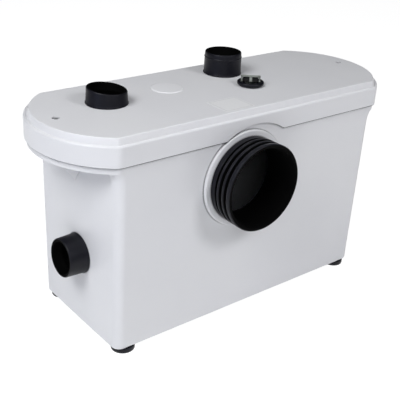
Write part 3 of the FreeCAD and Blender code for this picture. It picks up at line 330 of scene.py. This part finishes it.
def merged_copy(nodes, name, material, degrees=32.0, seams=()):
    """The form of some CAD nodes as one smoothly shaded piece, which stands for them.

    A seam is an axis and a place on it: the flat faces where two nodes meet there are left out.
    """
    shape = bmesh.new()
    for node in nodes:
        shape.from_mesh(frame["nodes"][node].data)
    for axis, place in seams:
        cut = [face for face in shape.faces
               if all(abs(vert.co[axis] - place) < ON_SEAM for vert in face.verts)]
        bmesh.ops.delete(shape, geom=cut, context="FACES")
    bmesh.ops.remove_doubles(shape, verts=shape.verts, dist=SAME_PLACE)
    smooth_by_angle(shape, degrees)
    return weighted_normals(new_piece(name, shape, material, replaces=nodes))


# A spun profile ends this near to its axis where the piece is solid, in mm
AXIS = 0.01


def spun(profile, centre, direction, segments=96):
    """A bmesh spun about the line through centre. Its profile is a closed loop in mm.

    Each corner of the profile is a radius and a height.
    """
    shape = bmesh.new()
    corners = [shape.verts.new((radius * MM, 0, height * MM)) for radius, height in profile]
    loop = [shape.edges.new((a, b)) for a, b in zip(corners, corners[1:] + corners[:1])]
    bmesh.ops.spin(shape, geom=corners + loop, cent=(0, 0, 0), axis=UP, angle=math.tau,
                   steps=segments, use_merge=True)
    bmesh.ops.remove_doubles(shape, verts=shape.verts, dist=0.001 * MM)
    bmesh.ops.recalc_face_normals(shape, faces=shape.faces)
    turn = UP.rotation_difference(direction).to_matrix().to_4x4()
    shape.transform(Matrix.Translation(centre) @ turn)
    return shape


def add_shape(shape, other):
    """Adds the faces of another bmesh, and frees it."""
    mesh = bpy.data.meshes.new("added_shape")
    other.to_mesh(mesh)
    other.free()
    shape.from_mesh(mesh)
    bpy.data.meshes.remove(mesh)


# Spun pieces and the vent's parts are smooth below this angle, in degrees
SHARP_CORNER = 40.0


def rounded_edges(piece, width_mm, segments=3):
    """Rounds the sharp corners of a moulded piece."""
    modifier = piece.modifiers.new("rounded_edges", "BEVEL")
    modifier.width = width_mm * MM
    modifier.segments = segments
    modifier.limit_method = "ANGLE"
    modifier.angle_limit = math.radians(SHARP_CORNER)
    modifier.harden_normals = True


def turned_piece(name, profile, centre, direction, material, replaces, round_mm,
                 segments=96):
    """A round piece, spun from its profile, with rounded edges."""
    shape = spun(profile, centre, direction, segments)
    for face in shape.faces:
        face.smooth = True
    piece = new_piece(name, shape, material, replaces=replaces)
    rounded_edges(piece, round_mm)
    return piece


def bore_in_painted_shade(piece, base, direction, radius_mm):
    """Gives the faces inside this radius the darker dull rubber: painted shade in the bore."""
    piece.data.materials.append(DULL_RUBBER_PAINTED_SHADE)
    for face in piece.data.polygons:
        away = face.center - base
        if (away - direction * away.dot(direction)).length < radius_mm * MM:
            face.material_index = 1


def centre_of(node):
    """The middle of a CAD node's box, and its lowest and highest corners."""
    low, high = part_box(node)
    return (low + high) / 2, low, high


# The tank: four CAD nodes that meet flush, as one moulding
low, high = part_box("tank_front")
merged_copy(("tank_left_end", "tank_right_end", "tank_front", "tank_floor_and_back"),
            "tank_shell", TANK_WHITE,
            seams=((0, low.x), (0, high.x), (1, high.y)))

# The lid
LID_SHARP_CORNER = 24.0
lid_shell = merged_copy(("lid",), "lid_shell", WHITE, LID_SHARP_CORNER)

# A thin strip of dark rubber under the lid's skirt paints the shadow in the gap over the tank's
# rim. It is thinner at the bulging ends, beyond STRAIGHT_HALF
GAP_SHADOW_STRIP = 0.45 * MM
END_GAP_SHADOW_STRIP = 0.18 * MM
STRAIGHT_HALF = 202.0 * MM
SCREW_DISH_RADIUS = 4.5 * MM
RING_LOWERED = 0.65 * MM


def add_gap_shadow_strip(shape, skirt_foot):
    """Draws the skirt's foot down to a thin dark strip, painted shadow in the gap over the rim."""
    foot = [face for face in shape.faces if face.normal.z < -0.99
            and abs(face.calc_center_median().z - skirt_foot) < 0.02 * MM]
    for item in bmesh.ops.extrude_face_region(shape, geom=foot)["geom"]:
        if isinstance(item, bmesh.types.BMVert):
            item.co.z -= GAP_SHADOW_STRIP if abs(item.co.x) < STRAIGHT_HALF else END_GAP_SHADOW_STRIP


def flatten_port_ring(shape, lid_top):
    """Lowers the blanked port's ring, the lid's highest part, and returns where its middle was."""
    ring = [vert for vert in shape.verts if vert.co.z > lid_top - 0.1 * MM]
    ring_middle = sum((vert.co for vert in ring), Vector()) / len(ring)
    for vert in ring:
        vert.co.z -= RING_LOWERED
    return ring_middle


lid_low, lid_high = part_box("lid")
# Slot 1 paints the shadow in the gap under the skirt in dark rubber, slot 2 paints shade in the
# screws' dishes
lid_shell.data.materials.append(DULL_RUBBER_PAINTED_SHADE)
lid_shell.data.materials.append(TANK_WHITE)
shape = bmesh.new()
shape.from_mesh(lid_shell.data)
add_gap_shadow_strip(shape, lid_low.z)
smooth_by_angle(shape, LID_SHARP_CORNER)
screws = [centre_of("lid_screw_left")[0], centre_of("lid_screw_right")[0]]
for face in shape.faces:
    place = face.calc_center_median()
    if place.z < lid_low.z - 0.01 * MM:
        face.material_index = 1
    elif any(math.hypot(place.x - screw.x, place.y - screw.y) < SCREW_DISH_RADIUS
             for screw in screws):
        face.material_index = 2
port_middle = flatten_port_ring(shape, lid_high.z)
shape.to_mesh(lid_shell.data)
shape.free()

# The blanked port: a low plate over its ring, with a soft edge
shape = spun([(AXIS, -0.75), (20.6, -0.75), (20.4, -0.45), (19.6, -0.2), (18.6, -0.03),
              (17.0, 0.0), (AXIS, 0.0)], port_middle, UP)
smooth_by_angle(shape, SHARP_CORNER)
new_piece("blanked_port_plate", shape, PLATE_WHITE)

# Toilet inlet: a ribbed rubber sleeve. Heights run outwards from the tank's raised boss.
middle, low, high = centre_of("wc_inlet_sleeve")
wc_reach = 33.8
wc_inner = wc_reach - (high.y - low.y) / MM
wc_base = Vector((middle.x, low.y + wc_reach * MM, middle.z))
# The flange inside, the groove that the wall sits in, and the collar outside
wc_profile = [(48.0, wc_inner), (57.0, wc_inner), (57.0, wc_inner + 4.0), (52.0, wc_inner + 4.0),
              (52.0, 0.0), (54.0, 0.0), (54.0, 7.0), (50.8, 7.4)]
# Two fins, then the broad one that ends in the lip
for fin in (10.6, 19.2):
    wc_profile += [(50.6, fin - 0.3), (54.4, fin), (54.9, fin + 1.1), (54.9, fin + 3.2),
                   (54.2, fin + 3.8), (50.6, fin + 4.3)]
wc_profile += [(50.6, 27.4), (54.5, 27.8), (55.1, 28.8), (55.1, 33.0), (54.2, wc_reach),
               (51.4, wc_reach), (50.4, 33.0), (49.4, 29.6), (48.0, 27.8)]
toilet_sleeve = turned_piece("toilet_inlet_sleeve", wc_profile, wc_base, FRONT, RUBBER,
                             ("wc_inlet_sleeve",), 0.35, 128)
# The sleeve's bore takes the darker rubber: painted shade inside it
bore_in_painted_shade(toilet_sleeve, wc_base, FRONT, 53.0)


def pipe_sleeve(name, node, direction, out, wall, skirt=0.0, beads=(), lean=None, longer=0.0):
    """A rubber sleeve for 40 mm pipe. Heights run outwards from the wall's face, in mm.

    out is how far its solid stands out, wall the wall that its groove holds, skirt the length
    of its inner pipe, and beads the heights of its outer rings. A sleeve that sits a little
    askew leans: its rim drops by this share on the side that lean points to. One that was pushed
    in less deep stands out longer.
    """
    middle, low, high = centre_of(node)
    rim = Vector((low.x, middle.y, middle.z)) if direction == LEFT else Vector(
        (middle.x, middle.y, high.z))
    base = rim - direction * out * MM
    out += longer
    inside = -wall - 2.4
    profile = [(18.0, inside)]
    if skirt:
        profile += [(20.0, inside), (20.0, inside - skirt), (23.0, inside - skirt),
                    (23.0, inside)]
    profile += [(25.4, inside), (25.4, -wall), (22.0, -wall), (22.0, 0.0), (25.4, 0.0),
                (25.4, 1.4), (24.9, 2.4), (24.7, 2.9)]
    for bead in beads:
        profile += [(24.3, bead - 1.0), (24.75, bead - 0.5), (24.75, bead + 0.5),
                    (24.2, bead + 1.0)]
    profile += [(23.9, out - 1.1), (23.5, out - 0.35), (22.8, out), (21.2, out), (20.4, out - 0.5),
                (20.0, out - 1.4)]
    # A seal ring inside the bore, and the step that stops the pipe
    seal = out * 0.55
    profile += [(20.0, seal), (19.6, seal - 0.6), (19.6, seal - 1.8), (20.0, seal - 2.4),
                (20.0, -wall), (18.0, -wall)]
    sleeve = turned_piece(name, profile, base, direction, RUBBER, (node,), 0.3)
    bore_in_painted_shade(sleeve, base, direction, 22.1)
    if lean:
        for vert in sleeve.data.vertices:
            away = vert.co - base
            height = away.dot(direction)
            if height > 0:
                vert.co -= direction * away.dot(lean) * height / (out * MM)


pipe_sleeve("shower_inlet_sleeve", "side_inlet_sleeve", LEFT, out=22.0, wall=4.5,
            lean=Vector((0.0, 0.0, 0.06)), longer=3.0)
BASIN_SLEEVE_OUT = 19.0
pipe_sleeve("basin_inlet_sleeve", "top_inlet_sleeve", UP, out=BASIN_SLEEVE_OUT, wall=3.0,
            lean=Vector((0.08, -0.06, 0.0)), longer=-1.4)
pipe_sleeve("discharge_pipe_sleeve", "discharge_sleeve", UP, out=29.0, wall=3.0, skirt=12.0,
            beads=(22.0,))

# Vent: a rubber ring in the lid
middle, low, high = centre_of("vent_grommet")
vent_face = Vector((middle.x, middle.y, high.z - 3.4 * MM))
turned_piece("vent_rubber_ring", [
    (8.0, -5.0), (13.0, -5.0), (13.0, -3.0), (10.5, -3.0), (10.5, 0.0), (13.8, 0.0), (15.4, 0.6),
    (16.6, 1.9), (17.2, 3.4), (17.0, 4.8), (16.2, 5.7), (14.9, 6.0), (13.6, 5.6), (12.8, 4.6),
    (12.0, 4.2), (8.0, 4.2)],
    vent_face, UP, RUBBER, ("vent_grommet",), 0.2, 64)

# The vent's cap: a cloudy disc on four posts round the charcoal, askew in its ring, and under
# them an upright stem into the filter
VENT_TILT = Matrix.Rotation(math.radians(-16.0), 4, Vector((0.77, -0.64, 0.0)))
POSTS = 4
FIRST_POST_DEGREES = 48
POST_PLACE = (11.3 * MM, 0, 7.4 * MM)
POST_SIZE = (2.0 * MM, 3.4 * MM, 5.8 * MM)
cap_axis = VENT_TILT @ UP
cap = spun([(6.2, -8.0), (7.8, -8.0), (7.8, 3.0), (10.0, 3.0), (10.0, 3.8), (6.2, 3.8)],
           vent_face, UP, 64)
add_shape(cap, spun([(AXIS, 10.2), (12.2, 10.2), (12.9, 10.8), (12.9, 12.0), (12.3, 12.6),
                     (10.2, 12.6), (9.6, 12.2), (AXIS, 12.2)], vent_face, cap_axis, 64))
for number in range(POSTS):
    degrees = FIRST_POST_DEGREES + 360 / POSTS * number
    bmesh.ops.create_cube(cap, size=1.0, matrix=(
        Matrix.Translation(vent_face) @ VENT_TILT
        @ Matrix.Rotation(math.radians(degrees), 4, "Z")
        @ Matrix.Translation(POST_PLACE) @ Matrix.Diagonal((*POST_SIZE, 1))))
smooth_by_angle(cap, SHARP_CORNER)
vent_cap = new_piece("vent_slotted_cap", cap, CLOUDY, replaces=("vent_cap",))
rounded_edges(vent_cap, 0.2, 2)
core = spun([(AXIS, 4.4), (9.6, 4.4), (9.6, 10.2), (AXIS, 10.2)], vent_face, cap_axis, 48)
smooth_by_angle(core, SHARP_CORNER)
new_piece("vent_charcoal_core", core, CHARCOAL)

# Feet: rubber pads with a ring groove under them, and a plug into the tank's floor
FOOT_PROFILE = [
    (AXIS, 1.2), (5.0, 1.2), (5.6, 0.6), (6.4, 0.6), (7.0, 1.2), (9.4, 1.2), (10.0, 0.0),
    (13.6, 0.0), (14.4, 0.4), (14.7, 1.1), (14.7, 5.9), (14.4, 6.7), (13.6, 7.0), (4.0, 7.0),
    (4.0, 10.0), (AXIS, 10.0)]
for corner in ("front_left", "front_right", "back_left", "back_right"):
    middle, low, high = centre_of("foot_" + corner)
    turned_piece("pad_" + corner, FOOT_PROFILE, Vector((middle.x, middle.y, 0)), UP, RUBBER,
                 ("foot_" + corner,), 0.15, 64)

# Cord gland on the right end, with the steps of its cap
middle, low, high = centre_of("cable_gland")
gland_face = Vector((high.x - 14.0 * MM, middle.y, middle.z))
turned_piece("cord_gland_body", [
    (3.9, -9.5), (7.6, -9.5), (8.0, -9.0), (8.0, 0.0), (11.0, 0.0), (11.0, 1.2), (10.4, 1.8),
    (10.4, 5.0), (9.5, 6.0), (9.5, 9.0), (9.0, 12.0), (7.4, 13.6), (5.2, 14.0), (4.3, 13.6),
    (3.9, 12.6)],
    gland_face, RIGHT, GLAND_GREY, ("cable_gland",), 0.2, 48)

# Label: a blank sticker near the front of the lid
LABEL_SIZE = (44.0 * MM, 38.0 * MM)
LABEL_CORNER = 1.6 * MM
LABEL_THICK = 0.16 * MM
LABEL_LIFT = 0.02 * MM
panel_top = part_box("top_inlet_sleeve")[1].z - BASIN_SLEEVE_OUT * MM
label_centre = Vector((-28.0 * MM, lid_low.y + 30.0 * MM, panel_top))
shape = bmesh.new()
bmesh.ops.create_grid(shape, x_segments=1, y_segments=1, size=0.5)
shape.transform(Matrix.Diagonal((*LABEL_SIZE, 1.0, 1.0)))
bmesh.ops.bevel(shape, geom=shape.verts, offset=LABEL_CORNER, segments=5, profile=0.5,
                affect="VERTICES", material=-1)
sides = bmesh.ops.extrude_face_region(shape, geom=shape.faces[:])
lifted = [item for item in sides["geom"] if isinstance(item, bmesh.types.BMVert)]
bmesh.ops.translate(shape, verts=lifted, vec=(0, 0, LABEL_THICK))
bmesh.ops.recalc_face_normals(shape, faces=shape.faces)
shape.transform(Matrix.Translation(label_centre + UP * LABEL_LIFT))
label_vinyl = framed_label("blank_vinyl_label", label_centre, LABEL_SIZE)
new_piece("blank_label", shape, label_vinyl)

# The CAD nodes that stay get their finishes
node_slots = {entry["node"]: entry["material_slot"] for entry in frame["record"]["subparts"]}
for node, piece in frame["nodes"].items():
    piece.data.materials.clear()
    piece.data.materials.append(NODE_MATERIALS.get(node, SLOT_MATERIALS[node_slots[node]]))


# Stage, light and camera

FLOOR_HALF = 12.0
FLOOR_GLOW = 1.31
GLOW_SHARE = 0.72
ROOM_LIGHT = 0.06


def floor_material():
    """A white floor that shows as white to the camera and keeps the object's soft shadow."""
    material, tree = new_material("white_studio_paper")
    paper = add(tree, "ShaderNodeBsdfDiffuse", {"Color": hex_colour("#f2f2f2")})
    glow = add(tree, "ShaderNodeEmission", {
        "Color": (1.0, 1.0, 1.0, 1.0), "Strength": FLOOR_GLOW})
    rays = add(tree, "ShaderNodeLightPath")
    seen = add(tree, "ShaderNodeMath", {
        0: rays.outputs["Is Camera Ray"], 1: rays.outputs["Is Glossy Ray"]}, operation="MAXIMUM")
    either = add(tree, "ShaderNodeMath", {
        0: seen.outputs["Value"], 1: rays.outputs["Is Transmission Ray"]}, operation="MAXIMUM")
    share = add(tree, "ShaderNodeMath", {0: either.outputs["Value"], 1: GLOW_SHARE},
                operation="MULTIPLY")
    mix = add(tree, "ShaderNodeMixShader", {
        "Fac": share.outputs["Value"], 1: paper.outputs["BSDF"], 2: glow.outputs["Emission"]})
    finish_material(tree, mix.outputs["Shader"])
    return material


shape = bmesh.new()
bmesh.ops.create_grid(shape, x_segments=1, y_segments=1, size=FLOOR_HALF)
floor_mesh = bpy.data.meshes.new("studio_floor")
shape.to_mesh(floor_mesh)
shape.free()
floor = bpy.data.objects.new("studio_floor", floor_mesh)
bpy.context.scene.collection.objects.link(floor)
floor_mesh.materials.append(floor_material())

# The room is dim, and shows as white to the camera
world = bpy.data.worlds.new("studio")
bpy.context.scene.world = world
world.use_nodes = True
tree = world.node_tree
tree.nodes.clear()
rays = add(tree, "ShaderNodeLightPath")
room = add(tree, "ShaderNodeBackground", {
    "Color": hex_colour("#e9edf4"), "Strength": ROOM_LIGHT})
white = add(tree, "ShaderNodeBackground", {"Color": (1.0, 1.0, 1.0, 1.0), "Strength": 1.0})
mix = add(tree, "ShaderNodeMixShader", {
    "Fac": rays.outputs["Is Camera Ray"], 1: room.outputs["Background"],
    2: white.outputs["Background"]})
add(tree, "ShaderNodeOutputWorld", {"Surface": mix.outputs["Shader"]})


def soft_light(name, place, aim_height, side, watts, colour):
    """A square softbox that looks at a point over the middle of the floor."""
    light = bpy.data.lights.new(name, "AREA")
    light.shape = "RECTANGLE"
    light.size = side
    light.size_y = side
    light.energy = watts
    light.color = hex_colour(colour)[:3]
    lamp = bpy.data.objects.new(name, light)
    aim = Vector((0, 0, aim_height)) - Vector(place)
    turn = aim.to_track_quat("-Z", "Y").to_matrix().to_4x4()
    lamp.matrix_world = Matrix.Translation(place) @ turn
    bpy.context.scene.collection.objects.link(lamp)


soft_light("left_high_softbox", (-1.3, -0.25, 1.5), 0.15, 0.85, 21.0, "#fcfdff")
soft_light("front_high_softbox", (0.5, -1.55, 1.5), 0.15, 0.6, 13.0, "#fcfcff")
soft_light("front_left_softbox", (-0.85, -1.5, 1.2), 0.15, 0.9, 5.5, "#f4f7ff")
soft_light("overhead_softbox", (0.1, 0.1, 2.0), 0.15, 1.4, 3.8, "#ffffff")
soft_light("right_high_fill", (1.3, -1.3, 1.4), 0.15, 1.2, 0.5, "#fffdf6")
soft_light("left_low_fill", (-1.9, -0.3, 0.5), 0.1, 1.0, 1.9, "#b8ccff")

# The camera, solved from the edges of the lid and the tank in the photograph
RIGHTWARD = Vector((0.78314, -0.61982, 0.05014))
DOWNWARD = Vector((-0.23631, -0.37122, -0.89797))
FORWARD = Vector((0.57519, 0.69139, -0.43718))
CAMERA_PLACE = (-0.6095, -0.6966, 0.5748)
camera_data = bpy.data.cameras.new("photo_camera")
camera_data.lens = 69.74
camera_data.sensor_width = 36.0
camera = bpy.data.objects.new("photo_camera", camera_data)
turn = Matrix((RIGHTWARD, -DOWNWARD, -FORWARD)).transposed().to_4x4()
camera.matrix_world = Matrix.Translation(CAMERA_PLACE) @ turn
bpy.context.scene.collection.objects.link(camera)
bpy.context.scene.camera = camera
bpy.context.scene.view_settings.view_transform = "Standard"
